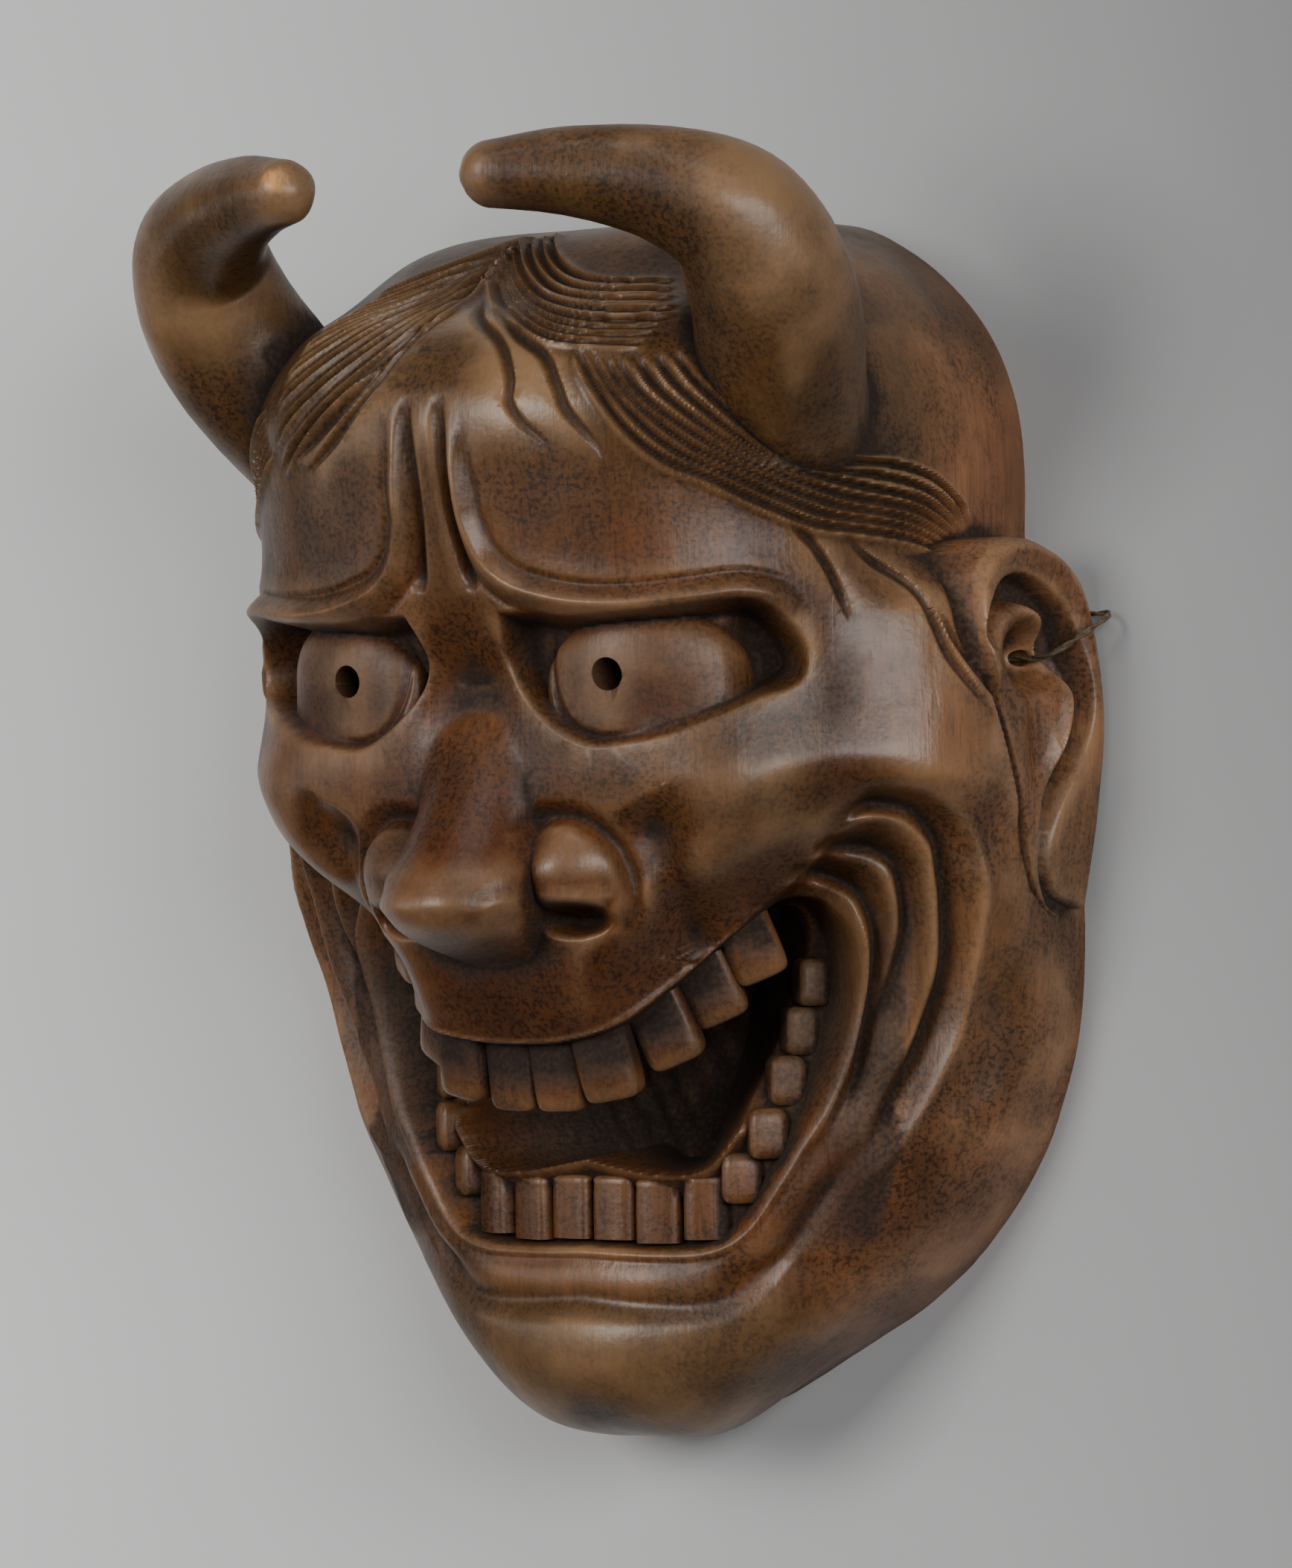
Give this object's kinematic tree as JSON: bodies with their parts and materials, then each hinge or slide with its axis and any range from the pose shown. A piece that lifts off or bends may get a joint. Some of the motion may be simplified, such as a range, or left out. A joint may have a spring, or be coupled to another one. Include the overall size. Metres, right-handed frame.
{
  "type": "hannya mask",
  "caption": "Carved wooden hannya mask with horns, pierced pupils and an open toothed mouth, hollow at the back, with a thin hanging cord.",
  "frame": {"origin": "centre of the bounding box's base, on the plane of the back rim", "axes": "+Z from the back rim out through the nose, +Y from chin to crown, +X across the face to the mask's own left ear"},
  "size_m": [0.2112, 0.2796, 0.1294],
  "materials": {
    "carved_wood": "waxed and worn, semi-gloss",
    "twine": "matte plant fibre"
  },
  "bodies": {
    "root": {"mask": "carved_wood", "hanging_cord": "twine"}
  },
  "joints": []
}
